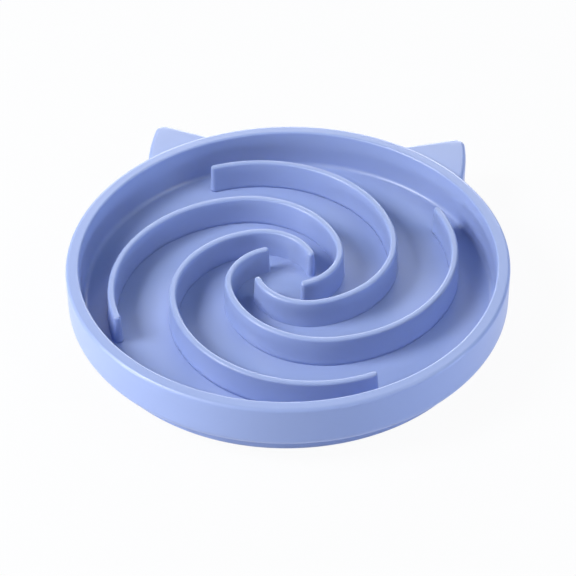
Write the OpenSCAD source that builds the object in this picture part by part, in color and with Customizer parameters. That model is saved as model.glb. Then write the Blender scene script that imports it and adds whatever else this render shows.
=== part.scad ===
// A round slow feeder bowl with four spiral walls on its floor and two cat ears behind it.
// The origin is on the bowl's axis, at the height of the table, and the ears point along +Y.

/* [Bowl] */
// Outside diameter of the bowl, without the ears
bowl_d = 200; // [196:0.5:204]
// Height of the rim above the table
bowl_h = 30.5; // [29:0.5:34]
// Width of the rim's top band, with both of its roundings
rim_w = 5.8; // [5:0.1:6.5]
// Rounding of the rim's outer edge
rim_outer_round = 1.5; // [0.5:0.1:2]
// Rounding of the rim's inner edge
rim_inner_round = 0.9; // [0.4:0.1:1.5]
// How far the inner wall leans in between the rim and the floor
wall_lean = 3.2; // [2:0.1:4]
// Radius of the hollow corner between the inner wall and the floor
corner_round = 4.5; // [3:0.1:5]
// Height of the skirt, from the rim down to its underside
skirt_h = 21.7; // [21:0.1:22]
// Rounding of the skirt's lower edge
skirt_round = 4.4; // [3:0.1:4.5]

/* [Floor] */
// Depth of the flat part of the floor below the rim
floor_depth = 18.8; // [17.5:0.1:19.5]
// Rise of the floor's crown at the middle
crown_h = 1.5; // [0.5:0.1:2]
// Radius at which the crown runs out
crown_r = 58; // [50:1:65]

/* [Spiral walls] */
// Depth of the walls' tops below the rim
wall_drop = 4.8; // [4:0.1:6]
// Thickness of a wall at its top
wall_top_t = 3.1; // [2.5:0.1:3.5]
// Thickness of a wall at the floor
wall_foot_t = 4.4; // [3.6:0.1:5]
// Rounding along the top edges of a wall
wall_round = 0.8; // [0.4:0.1:1]
// Gap from the middle of a wall's outer end to the hollow corner of the bowl
tip_gap = 4.7; // [4.5:0.1:8]
// Distance of the pattern's middle from the bowl's axis, to the left
pattern_shift = 1.5; // [0:0.1:2]

/* [Ears] */
// Depth of the ears' flat tops below the rim
ear_drop = 3.3; // [2:0.1:5]
// Height of an ear, from its top to its underside
ear_h = 14; // [10:0.5:14]
// How far an ear's widest point stands out of the skirt
ear_reach = 12.7; // [9:0.1:15]
// Radius of an ear's bowed outer side
ear_bow_r = 108; // [80:1:160]
// Rounding of an ear's tip
ear_tip_round = 3.1; // [2:0.1:5]
// Length of an ear's straight back edge, with the end that the skirt cuts off
ear_edge_l = 35; // [30:1:40]
// Distance of the middle plane between the ears from the bowl's axis, to the right
ear_shift = 1.7; // [0:0.1:3]

/* [Foot] */
// How far the foot ring is set in from the skirt
foot_inset = 7.5; // [7:0.1:9]
// Thickness of the foot ring
foot_t = 7.4; // [7:0.1:8]
// Width of the grip ring
grip_w = 4; // [3:0.1:4.5]
// Height of the grip ring
grip_h = 2.2; // [1.6:0.1:3]
// How far the grip ring stands out of the foot
grip_proud = 0.7; // [0.4:0.1:1]

/* [Hidden] */
$fn = 144;

// Direction of the longest wall's outer end, and the way the wall sets off from there, in degrees
tip_angle = 119;
tip_heading = 25.6;
// Angle that each arc of a wall covers, from its outer end inwards, in degrees
arc_angles = [107, 86.5, 84];
// Radius of each arc, as a share of the distance of the outer end from the pattern's middle
arc_r_shares = [0.768, 0.532, 0.292];
// Angle by which each wall's outer end stops short of the longest wall's, along its first arc, in degrees
wall_cuts = [6.5, 6, 2, 0];
// Angle of the pair of ears away from the bowl's back, in degrees
ear_pair_angle = 5.7;
// Direction of an ear's widest point from the bowl's axis, in degrees
ear_angle = 47.5;
// Angle of an ear's bowed side from its root to its widest point, and from there to the tip, in degrees
ear_root_angle = 13;
ear_tip_angle = 7.5;
// Angle of an ear's back edge, in degrees
ear_slope_angle = 18;
// Steps around a rounding, along the crown, along an arc of a wall and around half of its end
round_steps = 6;
crown_steps = 8;
arc_steps = 16;
end_steps = 4;
// Steps over the top edge of a wall
edge_steps = 2;

bowl_r = bowl_d / 2;
rim_inner_r = bowl_r - rim_w;
corner_r = rim_inner_r - wall_lean;
floor_r = corner_r - corner_round;
underside_z = bowl_h - skirt_h;
floor_z = bowl_h - floor_depth;
wall_z = bowl_h - wall_drop;
tip_r = floor_r - tip_gap;
arc_r = tip_r * arc_r_shares;
foot_r = bowl_r - foot_inset;
grip_r = foot_r - foot_t / 2 - grip_w / 2;

// Points of an arc about [x, y], from angle a to angle b
function arc(x, y, r, a, b, steps = round_steps) =
    [for (i = [0 : steps]) let (t = a + (b - a) * i / steps) [x + r * cos(t), y + r * sin(t)]];

// Height of the floor at distance r from the pattern's middle: flat, with a soft crown
function floor_top(r) = floor_z + (r < crown_r ? crown_h * (1 + cos(180 * r / crown_r)) / 2 : 0);

// The way a wall heads where its arc i starts, that start, and the middle of the arc
function heading(i) = i == 0 ? tip_heading : heading(i - 1) - arc_angles[i - 1];
function left_of(way) = [-sin(way), cos(way)];
function start(i) =
    i == 0 ? tip_r * [cos(tip_angle), sin(tip_angle)] : middle(i - 1) + arc_r[i - 1] * left_of(heading(i));
function middle(i) = start(i) - arc_r[i] * left_of(heading(i));

// The line of a wall whose outer end is cut back by an angle, as stations along it: each is a point, the way the
// wall heads there, and the angle from there to its side
arcs = len(arc_r);
function wall_line(cut) = concat(
    [for (k = [0 : end_steps - 1])
        [middle(0) + arc_r[0] * left_of(heading(0) - cut), heading(0) - cut, 180 - 90 * k / end_steps]],
    [for (i = [0 : arcs - 1]) for (k = [0 : arc_steps - 1])
        let (back = i == 0 ? cut : 0, way = heading(i) - back - (arc_angles[i] - back) * k / arc_steps)
            [middle(i) + arc_r[i] * left_of(way), way, 90]],
    [for (k = [0 : end_steps]) [start(arcs), heading(arcs), 90 - 90 * k / end_steps]]);

// A wall's outline at distance w from its line: out along the left side, back along the right
function beside(s, w, hand) = s[0] + w * [cos(s[1] + hand * s[2]), sin(s[1] + hand * s[2])];
function outline(line, w) = concat(
    [for (s = line) beside(s, w, 1)],
    [for (k = [len(line) - 2 : -1 : 1]) beside(line[k], w, -1)]);

module body_colour() {
    color([0.56, 0.62, 0.86]) children();
}

module bowl_floor() {
    crown = [for (i = [0 : crown_steps]) let (r = crown_r * i / crown_steps) [r, floor_top(r)]];
    body_colour() {
        translate([0, 0, underside_z]) cylinder(h = floor_z - underside_z, r = floor_r);
        translate([-pattern_shift, 0, 0]) rotate_extrude() polygon(concat([[0, floor_z]], crown));
    }
}

// One ring with the hollow corner, the inner wall, the rim's flat band and the skirt
module rim_wall() {
    section = concat(
        [[floor_r, underside_z]],
        arc(floor_r, floor_z + corner_round, corner_round, -90, 0),
        arc(rim_inner_r + rim_inner_round, bowl_h - rim_inner_round, rim_inner_round, 180, 90),
        arc(bowl_r - rim_outer_round, bowl_h - rim_outer_round, rim_outer_round, 90, 0),
        arc(bowl_r - skirt_round, underside_z + skirt_round, skirt_round, 0, -90));
    body_colour() rotate_extrude() polygon(section);
}

module ring(inner_r, outer_r, low, high) {
    rotate_extrude() translate([inner_r, low]) square([outer_r - inner_r, high - low]);
}

// The foot stands inside the skirt and has a groove underneath
module foot_ring() {
    body_colour() difference() {
        ring(foot_r - foot_t, foot_r, grip_proud, underside_z);
        ring(grip_r, grip_r + grip_w, 0, grip_h);
    }
}

// The soft ring fills the groove and touches the table
module grip_ring() {
    color([0.25, 0.27, 0.34]) ring(grip_r, grip_r + grip_w, 0, grip_h);
}

// One wall, as outlines stacked from the crowned floor to the wall's flat top
module spiral_wall(number) {
    line = wall_line(wall_cuts[number]);
    edge = arc(wall_top_t / 2 - wall_round, wall_z - wall_round, wall_round, 0, 90, edge_steps);
    foot = [for (p = outline(line, wall_foot_t / 2)) [p[0], p[1], floor_top(norm(p))]];
    rest = [for (level = edge) for (p = outline(line, level[0])) [p[0], p[1], level[1]]];
    n = len(foot);
    half = n / 2;
    top = n * len(edge);
    sides = [for (low = [0 : n : top - n]) for (j = [0 : n - 1]) let (next = (j + 1) % n)
        [low + j, low + next, low + n + next, low + n + j]];
    across = concat([[0, 1, n - 1]], [for (j = [1 : half - 2]) [j, j + 1, n - j - 1, n - j]],
        [[half - 1, half, half + 1]]);
    lid = [for (face = across) [for (j = face) top + j]];
    base = [for (face = across) [for (k = [len(face) - 1 : -1 : 0]) face[k]]];
    body_colour() translate([-pattern_shift, 0, 0]) rotate([0, 0, 90 * number])
        polyhedron(points = concat(foot, rest), faces = concat(sides, lid, base));
}

module spiral_wall_back() {
    spiral_wall(0);
}

module spiral_wall_left() {
    spiral_wall(1);
}

module spiral_wall_front() {
    spiral_wall(2);
}

module spiral_wall_right() {
    spiral_wall(3);
}

// A flat ear with a bowed side and a rounded tip, cut to the skirt that it grows from
module ear(flip) {
    widest = (bowl_r + ear_reach) * [cos(ear_angle), sin(ear_angle)];
    bow = widest - [ear_bow_r, 0];
    nose = bow + (ear_bow_r - ear_tip_round) * [cos(ear_tip_angle), sin(ear_tip_angle)];
    side = arc(bow[0], bow[1], ear_bow_r, -ear_root_angle, ear_tip_angle);
    tip = arc(nose[0], nose[1], ear_tip_round, ear_tip_angle, 90 + ear_slope_angle);
    root = tip[round_steps] - ear_edge_l * [cos(ear_slope_angle), sin(ear_slope_angle)];
    body_colour() difference() {
        translate([0, 0, bowl_h - ear_drop - ear_h])
            rotate([0, 0, -ear_pair_angle]) translate([ear_shift, 0, 0]) mirror([flip, 0, 0])
                linear_extrude(ear_h) polygon(concat([root], side, tip));
        cylinder(h = bowl_h, r = bowl_r);
    }
}

module ear_left() {
    ear(1);
}

module ear_right() {
    ear(0);
}

bowl_floor();
rim_wall();
foot_ring();
grip_ring();
spiral_wall_back();
spiral_wall_left();
spiral_wall_front();
spiral_wall_right();
ear_left();
ear_right();
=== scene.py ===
"""A round slow feeder bowl with four spiral walls and two cat ears, in one moulding over a soft grip ring.

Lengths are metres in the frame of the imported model: the origin is on the bowl's axis at the height of the
table, +Z is up, and +Y points to the back, where the ears are.
"""
import math

import bpy
import numpy as np
from mathutils import Matrix, Vector


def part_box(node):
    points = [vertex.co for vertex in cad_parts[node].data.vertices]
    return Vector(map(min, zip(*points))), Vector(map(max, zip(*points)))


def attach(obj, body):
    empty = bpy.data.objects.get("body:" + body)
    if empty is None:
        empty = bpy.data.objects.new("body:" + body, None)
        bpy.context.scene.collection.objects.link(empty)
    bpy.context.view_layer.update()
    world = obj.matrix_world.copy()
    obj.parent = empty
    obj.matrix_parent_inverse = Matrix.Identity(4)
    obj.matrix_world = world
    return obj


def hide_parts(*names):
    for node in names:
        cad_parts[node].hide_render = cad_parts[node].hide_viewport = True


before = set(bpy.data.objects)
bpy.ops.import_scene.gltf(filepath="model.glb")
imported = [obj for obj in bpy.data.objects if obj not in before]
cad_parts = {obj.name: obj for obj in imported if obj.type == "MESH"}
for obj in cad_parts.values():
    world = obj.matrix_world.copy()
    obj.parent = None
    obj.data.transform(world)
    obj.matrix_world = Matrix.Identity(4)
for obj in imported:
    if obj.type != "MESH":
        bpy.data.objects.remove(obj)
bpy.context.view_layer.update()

# The bowl
# One moulding in satin plastic: a floor with a soft crown, a hollow corner, a steep inner wall, a flat rim, a
# skirt that turns under, and a foot ring set in below it, with a groove for the grip ring.

MM = 0.001
ring_low, ring_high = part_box("rim_wall")
foot_low, foot_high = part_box("foot_ring")
grip_low, grip_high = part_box("grip_ring")
RIM_Z = ring_high.z
SKIRT_R = ring_high.x
UNDERSIDE_Z = ring_low.z
CROWN_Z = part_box("bowl_floor")[1].z

RIM_W = 5.8 * MM
RIM_INNER_ROUND = 0.9 * MM
RIM_OUTER_ROUND = 1.5 * MM
RIM_IN = SKIRT_R - RIM_W
WALL_LEAN = 1.0 * MM
CORNER_ROUND = 2.2 * MM
SKIRT_ROUND = 4.4 * MM
CROWN_H = 1.5 * MM
CROWN_R = 58 * MM
PATTERN_SHIFT = 1.5 * MM
FLOOR_Z = CROWN_Z - CROWN_H
FOOT_R = foot_high.x
FOOT_T = 7.4 * MM
FOOT_IN = FOOT_R - FOOT_T
FOOT_Z = foot_low.z
FOOT_ROUND = 0.8 * MM
GROOVE_OUT = grip_high.x
GROOVE_W = 4 * MM
GROOVE_IN = GROOVE_OUT - GROOVE_W
GROOVE_Z = 2.2 * MM
AROUND = 360
PROFILE_STEP = 5 * MM
ROUND_STEPS = 8
FLAT_MARGIN = 1.25
SAME_HEIGHT = 0.01 * MM


def rounded(corners):
    """A smooth profile through corners given as (r, z, rounding): each corner is an arc that touches both of
    its sides, with one more point a little before and after it, so that the flat sides stay flat in the
    light."""
    points = []
    for index, (r, z, rounding) in enumerate(corners):
        here = np.array([r, z])
        if rounding == 0:
            points.append(here)
            continue
        before = np.array(corners[index - 1][:2]) - here
        after = np.array(corners[index + 1][:2]) - here
        before = before / np.linalg.norm(before)
        after = after / np.linalg.norm(after)
        half = math.acos(np.clip(before @ after, -1, 1)) / 2
        reach = rounding / math.tan(half)
        middle = here + (before + after) / np.linalg.norm(before + after) * rounding / math.sin(half)
        start = here + before * reach - middle
        end = here + after * reach - middle
        turn = math.pi - 2 * half
        share = np.linspace(0, 1, ROUND_STEPS + 1)[:, None]
        arc = (np.sin((1 - share) * turn) * start + np.sin(share * turn) * end) / math.sin(turn)
        points.append(here + before * reach * FLAT_MARGIN)
        points.extend(middle + arc)
        points.append(here + after * reach * FLAT_MARGIN)
    return np.array(points)


def between(profile, longest):
    """The profile with points added along its longer steps, so that no step is longer than the one given."""
    parts = []
    for start, end in zip(profile[:-1], profile[1:]):
        count = max(1, math.ceil(np.linalg.norm(end - start) / longest))
        parts.append(start + (end - start) * np.linspace(0, 1, count, endpoint=False)[:, None])
    return np.vstack(parts + [profile[-1:]])


def crown(x, y):
    """How far the floor stands above its flat part: one smooth cosine hill about the pattern's middle."""
    distance = np.hypot(x + PATTERN_SHIFT, y)
    return np.where(distance < CROWN_R, CROWN_H * (1 + np.cos(np.pi * distance / CROWN_R)) / 2, 0)


def new_piece(name, vertices, faces, material):
    """A smooth-shaded object of these points and faces, with its place in its mesh."""
    mesh = bpy.data.meshes.new(name)
    mesh.from_pydata(vertices.tolist(), [], faces)
    mesh.materials.append(material)
    piece = bpy.data.objects.new(name, mesh)
    bpy.context.scene.collection.objects.link(piece)
    mesh.polygons.foreach_set("use_smooth", np.ones(len(mesh.polygons), bool))
    mesh.update()
    return piece


def grid_faces(rows, columns, close_rows=False, close_columns=False):
    """Quads of a grid of points stored row by row, closed round its rows or its columns where asked."""
    down = np.arange(rows if close_rows else rows - 1)
    along = np.arange(columns if close_columns else columns - 1)
    row, column = np.meshgrid(down, along, indexing="ij")
    below = (row + 1) % rows
    beside = (column + 1) % columns
    quads = np.stack([row * columns + column, below * columns + column, below * columns + beside,
                      row * columns + beside], axis=-1)
    return quads.reshape(-1, 4).tolist()


def turned(name, profile, material, pole=False, lift=None):
    """A profile of (r, z) points turned about the axis. With a pole, its two ends lie on the axis and close
    with a fan; without one, the profile runs round and meets itself."""
    angle = np.linspace(0, 2 * np.pi, AROUND, endpoint=False)
    rings = profile[1:-1] if pole else profile
    x = rings[:, :1] * np.cos(angle)
    y = rings[:, :1] * np.sin(angle)
    z = np.repeat(rings[:, 1:], AROUND, axis=1)
    points = np.stack([x, y, z], axis=-1).reshape(-1, 3)
    faces = grid_faces(len(rings), AROUND, close_rows=not pole, close_columns=True)
    if pole:
        last = len(rings) * AROUND
        points = np.vstack([points, [0, 0, profile[0, 1]], [0, 0, profile[-1, 1]]])
        step = np.arange(AROUND)
        next_step = (step + 1) % AROUND
        faces += np.stack([np.full(AROUND, last), step, next_step], axis=-1).tolist()
        edge = last - AROUND
        faces += np.stack([np.full(AROUND, last + 1), edge + next_step, edge + step], axis=-1).tolist()
    if lift is not None:
        points = lift(points)
    return new_piece(name, points, faces, material)


class Value:
    """One socket of a material's nodes, so that shader maths reads as plain sums."""

    def __init__(self, finish, socket):
        self.finish = finish
        self.socket = socket

    def maths(self, operation, *values):
        return self.finish.node("ShaderNodeMath", {"operation": operation}, dict(enumerate(values)))

    def __add__(self, other):
        return self.maths("ADD", self, other)

    def __mul__(self, other):
        return self.maths("MULTIPLY", self, other)

    __radd__ = __add__
    __rmul__ = __mul__


class Nodes:
    """The nodes of a material or of the world."""

    def __init__(self, tree):
        self.tree = tree

    def node(self, kind, settings=None, sockets=None, output=0):
        """A node of that kind, with its settings set first, and then its sockets, by name or number."""
        made = self.tree.nodes.new(kind)
        for name, value in (settings or {}).items():
            setattr(made, name, value)
        for key, value in (sockets or {}).items():
            self.feed(made.inputs[key], value)
        return Value(self, made.outputs[output])

    def feed(self, socket, value):
        if isinstance(value, Value):
            self.tree.links.new(value.socket, socket)
        else:
            socket.default_value = value

    def is_seen(self, gloss_share):
        """One for rays that show this straight to the camera or through a clear surface, the given share for
        rays that show it in a glossy surface, and zero for the rest."""
        rays = ("Is Camera Ray", "Is Glossy Ray", "Is Transmission Ray")
        camera, glossy, clear = [self.node("ShaderNodeLightPath", output=ray) for ray in rays]
        shown = camera + gloss_share * glossy
        return self.node("ShaderNodeMath", {"operation": "ADD", "use_clamp": True}, {0: shown, 1: clear})


class Finish(Nodes):
    """A material: one shader, and the nodes that vary it over the surface."""

    def __init__(self, name, **constants):
        self.material = bpy.data.materials.new(name)
        self.material.use_nodes = True
        super().__init__(self.material.node_tree)
        self.shader = self.tree.nodes["Principled BSDF"]
        for socket, value in constants.items():
            self.shader.inputs[socket.replace("_", " ")].default_value = value

    def set(self, **values):
        """Feeds sockets of the shader that vary over the surface."""
        for socket, value in values.items():
            self.feed(self.shader.inputs[socket.replace("_", " ")], value)

    def place(self):
        return self.node("ShaderNodeTexCoord", output="Object")

    def noise(self, size, detail):
        """Noise from 0 to 1 whose patches are about the given size, in metres."""
        return self.node("ShaderNodeTexNoise", {"noise_dimensions": "3D"},
                         {"Vector": self.place(), "Scale": 1 / size, "Detail": detail, "Roughness": 0.5})

    def blend(self, share, first, second):
        """Colour that runs from first to second as share runs from 0 to 1."""
        return self.node("ShaderNodeMix", {"data_type": "RGBA"}, {0: share, 6: first, 7: second}, output=2)

    def bump(self, height, depth):
        """Normals of a surface whose height, from 0 to 1, is that deep."""
        return self.node("ShaderNodeBump", None, {"Height": height, "Distance": depth, "Strength": 1.0})


PERIWINKLE = (0.318, 0.408, 0.710, 1)
PERIWINKLE_DEEP = (0.306, 0.394, 0.697, 1)

moulded = Finish("moulded_periwinkle", Specular_IOR_Level=0.6, IOR=1.48)
patches = moulded.noise(30 * MM, 3)
grain = moulded.noise(0.35 * MM, 2)
soft_waves = moulded.noise(14 * MM, 1)
moulded.set(Base_Color=moulded.blend(patches, PERIWINKLE_DEEP, PERIWINKLE),
            Roughness=0.28 + 0.05 * patches + 0.04 * grain,
            Normal=moulded.bump(grain * 0.08 + soft_waves, 0.05 * MM))

bowl_corners = [
    (0, FLOOR_Z, 0),
    (RIM_IN - WALL_LEAN, FLOOR_Z, CORNER_ROUND),
    (RIM_IN, RIM_Z, RIM_INNER_ROUND),
    (SKIRT_R, RIM_Z, RIM_OUTER_ROUND),
    (SKIRT_R, UNDERSIDE_Z, SKIRT_ROUND),
    (FOOT_R, UNDERSIDE_Z, FOOT_ROUND / 2),
    (FOOT_R, FOOT_Z, FOOT_ROUND),
    (GROOVE_OUT, FOOT_Z, FOOT_ROUND / 4),
    (GROOVE_OUT, GROOVE_Z, 0),
    (GROOVE_IN, GROOVE_Z, 0),
    (GROOVE_IN, FOOT_Z, FOOT_ROUND / 4),
    (FOOT_IN, FOOT_Z, FOOT_ROUND),
    (FOOT_IN, UNDERSIDE_Z, FOOT_ROUND),
    (0, UNDERSIDE_Z, 0)]
bowl_profile = between(rounded(bowl_corners), PROFILE_STEP)


def raise_crown(points):
    """Lifts the upper side of the floor by the crown."""
    upper = np.abs(points[:, 2] - FLOOR_Z) < SAME_HEIGHT
    points[upper, 2] += crown(points[upper, 0], points[upper, 1])
    return points


bowl = turned("bowl_moulding", bowl_profile, moulded.material, pole=True, lift=raise_crown)
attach(bowl, "root")
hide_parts("bowl_floor", "rim_wall", "foot_ring")

# The grip ring
# A flat ring of soft rubber pressed into the groove under the foot, a little proud of it, so that the bowl
# doesn't slide.

GRIP_ROUND = 0.5 * MM
GRIP_STEP = 2 * MM
RUBBER = (0.062, 0.072, 0.115, 1)
RUBBER_WORN = (0.080, 0.090, 0.135, 1)

rubber = Finish("soft_rubber", Specular_IOR_Level=0.35)
dust = rubber.noise(8 * MM, 4)
pores = rubber.noise(0.3 * MM, 2)
rubber.set(Base_Color=rubber.blend(dust, RUBBER, RUBBER_WORN),
           Roughness=0.72 + 0.12 * dust,
           Normal=rubber.bump(pores, 0.03 * MM))

grip_corners = [
    (GROOVE_OUT, GROOVE_Z, 0),
    (GROOVE_OUT, grip_low.z, GRIP_ROUND),
    (GROOVE_IN, grip_low.z, GRIP_ROUND),
    (GROOVE_IN, GROOVE_Z, 0)]
grip = turned("grip_ring_soft", between(rounded(grip_corners), GRIP_STEP), rubber.material)
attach(grip, "root")
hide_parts("grip_ring")

# The spiral walls
# Four walls of the same moulding, a quarter turn apart, alike but for how far their outer ends reach. Each
# runs inwards through three arcs, thins a little from foot to top, and has a soft edge along its flat top.

WALL_TOP_T = 3.1 * MM
WALL_FOOT_T = 4.4 * MM
WALL_ROUND = 1.0 * MM
WALL_SIDE_MARGIN = 1.5
WALL_FLAT_MARGIN = 1.2
WALL_SINK = 0.4 * MM
TIP_R = 81.8 * MM
TIP_ANGLE = math.radians(119)
TIP_HEADING = math.radians(25.6)
ARC_R = TIP_R * np.array([0.768, 0.532, 0.292])
ARC_TURN = np.radians((107, 86.5, 84))
WALL_CUTS = np.radians((6.5, 6, 2, 0))
WALL_STEP = 1.2 * MM
SIDE_LEVELS = 4
EDGE_LEVELS = 7
END_STEPS = 12
WALL_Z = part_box("spiral_wall_back")[1].z


def wall_line(cut):
    """Points along a wall whose outer end is cut back by that angle, the way it heads at each, and the angle
    from there to its side, which runs from straight back to straight on round the two ends."""
    point = TIP_R * np.array([math.cos(TIP_ANGLE), math.sin(TIP_ANGLE)])
    heading = TIP_HEADING
    points, headings = [], []
    for radius, turn, skipped in zip(ARC_R, ARC_TURN, (cut, 0, 0)):
        count = math.ceil(radius * turn / WALL_STEP)
        way = heading - np.linspace(skipped, turn, count + 1)
        middle = point - radius * np.array([-math.sin(heading), math.cos(heading)])
        arc = middle + radius * np.stack([-np.sin(way), np.cos(way)], axis=-1)
        points.append(arc[1:] if points else arc)
        headings.append(way[1:] if headings else way)
        point, heading = arc[-1], way[-1]
    points, headings = np.vstack(points), np.concatenate(headings)
    repeats = np.ones(len(points), int)
    repeats[[0, -1]] += END_STEPS
    back = np.linspace(np.pi, np.pi / 2, END_STEPS, endpoint=False)
    beside = np.full(len(points), np.pi / 2)
    on = np.linspace(np.pi / 2, 0, END_STEPS + 1)[1:]
    aside = np.concatenate([back, beside, on])
    return np.repeat(points, repeats, axis=0), np.repeat(headings, repeats), aside


def wall_outline(width, cut):
    """The closed outline of a wall at that distance from its line: out on the left, back on the right."""
    points, headings, aside = wall_line(cut)
    left = points + width * np.stack([np.cos(headings + aside), np.sin(headings + aside)], axis=-1)
    right = points + width * np.stack([np.cos(headings - aside), np.sin(headings - aside)], axis=-1)
    return np.vstack([left, right[-2:0:-1]])


def wall_levels():
    """Half of a wall's width and its height, level by level: its sides thin evenly from the floor up, and its
    top edge is a quarter circle."""
    thinning = (WALL_FOOT_T - WALL_TOP_T) / 2 / (WALL_Z - FLOOR_Z)
    levels = [(WALL_FOOT_T / 2 + thinning * WALL_SINK, FLOOR_Z - WALL_SINK)]
    for z in np.linspace(FLOOR_Z + CROWN_H, WALL_Z - WALL_SIDE_MARGIN * WALL_ROUND, SIDE_LEVELS):
        levels.append((WALL_FOOT_T / 2 - thinning * (z - FLOOR_Z), z))
    for step in np.linspace(0, np.pi / 2, EDGE_LEVELS):
        inset = WALL_ROUND * (1 - math.cos(step))
        levels.append((WALL_TOP_T / 2 - inset, WALL_Z - WALL_ROUND * (1 - math.sin(step))))
    levels.append((WALL_TOP_T / 2 - WALL_FLAT_MARGIN * WALL_ROUND, WALL_Z))
    return levels


def spiral_wall(node, number):
    """Outlines stacked from just under the floor to the top, and closed there by strips from side to side."""
    levels = wall_levels()
    rings = []
    for width, z in levels:
        outline = wall_outline(width, WALL_CUTS[number])
        rings.append(np.column_stack([outline, np.full(len(outline), z)]))
    around = len(rings[0])
    points = np.vstack(rings)
    faces = grid_faces(len(rings), around, close_columns=True)
    half = around // 2
    for ring, flip in ((0, False), (len(rings) - 1, True)):
        first = ring * around
        strip = [[first, first + 1, first + around - 1]]
        for j in range(1, half - 1):
            strip.append([first + j, first + j + 1, first + around - j - 1, first + around - j])
        strip.append([first + half - 1, first + half, first + half + 1])
        faces += [face[::-1] if flip else face for face in strip]
    turn = Matrix.Rotation(math.pi / 2 * number, 3, "Z")
    points = points @ np.array(turn).T - np.array([PATTERN_SHIFT, 0, 0])
    wall = new_piece(node + "_moulded", points, faces, moulded.material)
    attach(wall, "root")
    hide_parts(node)


for number, place in enumerate(("back", "left", "front", "right")):
    spiral_wall("spiral_wall_" + place, number)

# The ears
# Two flat ears of the same moulding that grow out of the skirt behind the bowl, below the rim: a straight
# back edge, a rounded tip, a bowed outer side, and soft edges all round.

EAR_REACH = 12.7 * MM
EAR_ANGLE = math.radians(47.5)
EAR_BACK = 40 * MM
EAR_BOW_R = 108 * MM
EAR_TIP_ROUND = 4.4 * MM
EAR_SHIFT = 1.7 * MM
EAR_TURN = math.radians(5.7)
EAR_ROOT_TURN = math.radians(13)
EAR_TIP_TURN = math.radians(6.9)
EAR_SLOPE = math.radians(18)
EAR_INSET = 0.03 * MM
EAR_EDGE_ROUND = 2.2 * MM
EAR_LOWER_ROUND = 1 * MM
EAR_FLAT_MARGIN = 1.2
EAR_SINK = 2 * MM
EAR_ROOT_R = SKIRT_R - EAR_SINK
EAR_BACK_STEPS = 40
EAR_TIP_STEPS = 24
EAR_BOW_STEPS = 40
EAR_TOP_ROWS = 7
EAR_EDGE_ROWS = 9
EAR_SIDE_ROWS = 3
EAR_LOWER_ROWS = 5
ear_low, ear_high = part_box("ear_right")


def ear_edge():
    """Points along the visible edge of the right ear before it is turned, and the outward direction at each:
    back along its straight edge, round the tip, and down its bowed side."""
    tip_reach = EAR_BOW_R - EAR_TIP_ROUND
    widest = (SKIRT_R + EAR_REACH) * np.array([math.cos(EAR_ANGLE), math.sin(EAR_ANGLE)])
    bow = widest - np.array([EAR_BOW_R, 0])
    tip = bow + tip_reach * np.array([math.cos(EAR_TIP_TURN), math.sin(EAR_TIP_TURN)])
    back_angle = math.pi / 2 + EAR_SLOPE
    back_out = np.array([math.cos(back_angle), math.sin(back_angle)])
    back_way = np.array([math.cos(EAR_SLOPE), math.sin(EAR_SLOPE)])
    back = tip + EAR_TIP_ROUND * back_out - np.linspace(EAR_BACK, 0, EAR_BACK_STEPS)[:, None] * back_way
    turns = np.linspace(back_angle, EAR_TIP_TURN, EAR_TIP_STEPS)[1:]
    round_out = np.stack([np.cos(turns), np.sin(turns)], axis=-1)
    sweep = np.linspace(EAR_TIP_TURN, -EAR_ROOT_TURN, EAR_BOW_STEPS)[1:]
    bow_out = np.stack([np.cos(sweep), np.sin(sweep)], axis=-1)
    edge = np.vstack([back, tip + EAR_TIP_ROUND * round_out, bow + EAR_BOW_R * bow_out])
    outward = np.vstack([np.repeat(back_out[None], len(back), axis=0), round_out, bow_out])
    return edge, outward


def ear(side, mirror):
    """Each point of the edge carries a section: out from the root under the rim, over the soft upper edge,
    down the side, round the lower edge and back to the root. All sections together close the ear."""
    edge, outward = ear_edge()
    edge = edge - EAR_INSET * outward
    mirrored = np.array([-1.0 if mirror else 1.0, 1.0])
    spin = np.array([[math.cos(EAR_TURN), math.sin(EAR_TURN)], [-math.sin(EAR_TURN), math.cos(EAR_TURN)]])
    edge = (edge * mirrored + np.array([EAR_SHIFT, 0])) @ spin.T
    outward = (outward * mirrored) @ spin.T
    outside = np.hypot(edge[:, 0], edge[:, 1]) > EAR_ROOT_R
    edge, outward = edge[outside], outward[outside]
    angles = np.arctan2(edge[:, 1], edge[:, 0])
    root_angle = np.linspace(angles[0], angles[-1], len(edge))
    root = EAR_ROOT_R * np.stack([np.cos(root_angle), np.sin(root_angle)], axis=-1)
    top, bottom = ear_high.z, ear_low.z
    sections = []
    flat_edge = edge - EAR_EDGE_ROUND * EAR_FLAT_MARGIN * outward
    for share in np.linspace(0, 1, EAR_TOP_ROWS)[:-1]:
        sections.append((root + (flat_edge - root) * share, top))
    for step in np.linspace(0, np.pi / 2, EAR_EDGE_ROWS):
        inset = EAR_EDGE_ROUND * (1 - math.sin(step))
        sections.append((edge - inset * outward, top - EAR_EDGE_ROUND * (1 - math.cos(step))))
    side_top = top - EAR_EDGE_ROUND * EAR_FLAT_MARGIN
    side_bottom = bottom + EAR_LOWER_ROUND * EAR_FLAT_MARGIN
    for z in np.linspace(side_top, side_bottom, EAR_SIDE_ROWS):
        sections.append((edge, z))
    for step in np.linspace(0, np.pi / 2, EAR_LOWER_ROWS):
        inset = EAR_LOWER_ROUND * (1 - math.cos(step))
        sections.append((edge - inset * outward, bottom + EAR_LOWER_ROUND * (1 - math.sin(step))))
    sections.append((root, bottom))
    rows = [np.column_stack([flat, np.full(len(flat), z)]) for flat, z in sections]
    points = np.vstack(rows)
    faces = grid_faces(len(rows), len(edge), close_rows=True)
    section = len(edge) * np.arange(len(rows))
    faces += [section[::-1].tolist(), (section + len(edge) - 1).tolist()]
    if not mirror:
        faces = [face[::-1] for face in faces]
    piece = new_piece("ear_%s_moulded" % side, points, faces, moulded.material)
    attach(piece, "root")
    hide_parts("ear_" + side)


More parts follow.
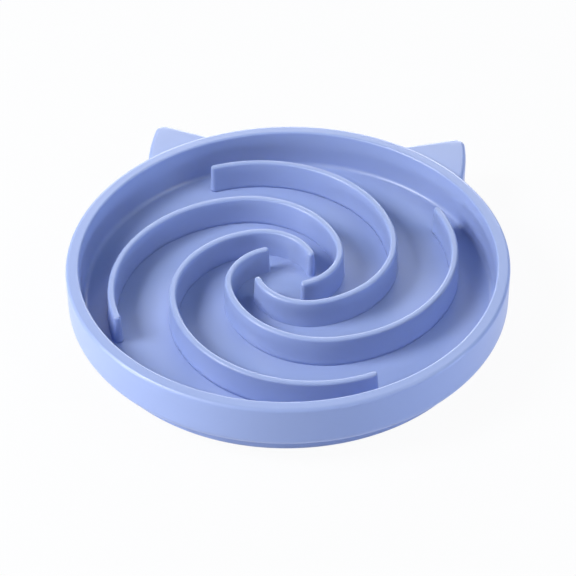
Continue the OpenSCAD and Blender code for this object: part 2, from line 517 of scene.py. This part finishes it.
ear("left", True)
ear("right", False)

# The table
# A plain pale sweep under the bowl. The camera and the plastic's gloss see it nearly pure white, as in the
# photo, with a trace of the bowl's shadow. To the lamps it is pale, slightly blue paper.

TABLE_SIZE = 6.0
SHADOW_SHARE = 0.05
TABLE_GLOSS = 0.9
PAPER = (0.58, 0.62, 0.71, 1)
PAPER_PALE = (0.60, 0.64, 0.73, 1)

sheet = Finish("pale_table", Roughness=0.9, Specular_IOR_Level=0.2)
fibres = sheet.noise(2 * MM, 2)
sheet.set(Base_Color=sheet.blend(fibres, PAPER, PAPER_PALE))
glow = sheet.node("ShaderNodeEmission", None, {"Color": (1, 1, 1, 1), "Strength": 1.0})
mixed = sheet.node("ShaderNodeMixShader", None, {
    0: sheet.is_seen(TABLE_GLOSS) * (1 - SHADOW_SHARE), 1: Value(sheet, sheet.shader.outputs[0]), 2: glow})
sheet.feed(sheet.tree.nodes["Material Output"].inputs["Surface"], mixed)

half_size = TABLE_SIZE / 2
corners = np.array([[-half_size, -half_size, 0], [half_size, -half_size, 0],
                    [half_size, half_size, 0], [-half_size, half_size, 0]])
table = new_piece("table", corners, [[0, 1, 2, 3]], sheet.material)

# The studio light
# One strong soft lamp on the left, halfway up, a broad low one behind, and weaker ones round the bowl, in a
# room that gives no light of its own. To the camera the room is white, and to the plastic's gloss a share of
# that.

WARM = (1.0, 0.92, 0.80)
COOL = (0.74, 0.86, 1.0)
DEEP_COOL = (0.62, 0.74, 1.0)
ROOM_GLOSS = 0.1


def lamp(name, azimuth, elevation, distance, size, power, colour=(1, 1, 1)):
    """A square soft lamp that faces the bowl, with its angles in degrees, its distance and size in metres, and
    its power in watts. Azimuth 0 is the bowl's right, and 90 its back."""
    light = bpy.data.lights.new(name, "AREA")
    light.shape = "SQUARE"
    light.size = size
    light.energy = power
    light.color = colour
    lamp_object = bpy.data.objects.new(name, light)
    turn, rise = math.radians(azimuth), math.radians(elevation)
    way = Vector((math.cos(rise) * math.cos(turn), math.cos(rise) * math.sin(turn), math.sin(rise)))
    lamp_object.location = distance * way
    lamp_object.rotation_euler = way.to_track_quat("Z", "Y").to_euler()
    bpy.context.scene.collection.objects.link(lamp_object)


lamp("left_lamp", 190, 44, 1.2, 0.46, 12.8)
lamp("front_left_lamp", 225, 38, 1.2, 0.4, 1.8, WARM)
lamp("low_left_lamp", 198, 5, 1.2, 0.25, 6.4)
lamp("back_lamp", 88, 11, 2.5, 1.8, 62)
lamp("high_back_lamp", 60, 70, 1.2, 0.6, 0.9, COOL)
lamp("right_lamp", 0, 49, 1.2, 0.4, 2.2, COOL)
lamp("low_right_lamp", 350, 5, 1.2, 0.25, 4.9, DEEP_COOL)
lamp("front_right_lamp", 330, 40, 1.2, 0.4, 2.1, WARM)
lamp("low_front_lamp", 300, 5, 1.2, 0.25, 2.6, DEEP_COOL)

world = bpy.data.worlds.new("room")
world.use_nodes = True
room = Nodes(world.node_tree)
background = room.tree.nodes["Background"]
background.inputs["Color"].default_value = (1, 1, 1, 1)
room.feed(background.inputs["Strength"], room.is_seen(ROOM_GLOSS))
bpy.context.scene.world = world

# The camera
# A long lens in front of the bowl, looking down at it, almost level, with the rim's middle a little above the
# middle of the picture.

CAMERA_ELEVATION = math.radians(40.55)
CAMERA_ROLL = math.radians(-0.74)
CAMERA_LENS = 134.45
CAMERA_SENSOR = 36
RIM_IN_VIEW = Vector((-0.09 * MM, 14 * MM, -969 * MM))

camera_data = bpy.data.cameras.new("camera")
camera_data.lens = CAMERA_LENS
camera_data.sensor_width = CAMERA_SENSOR
camera_data.clip_end = 20
camera = bpy.data.objects.new("camera", camera_data)
bpy.context.scene.collection.objects.link(camera)
facing = Matrix.Rotation(math.pi / 2 - CAMERA_ELEVATION, 3, "X") @ Matrix.Rotation(CAMERA_ROLL, 3, "Z")
camera.matrix_world = Matrix.Translation(Vector((0, 0, RIM_Z)) - facing @ RIM_IN_VIEW) @ facing.to_4x4()
bpy.context.scene.camera = camera

bpy.context.scene.view_settings.view_transform = "Standard"
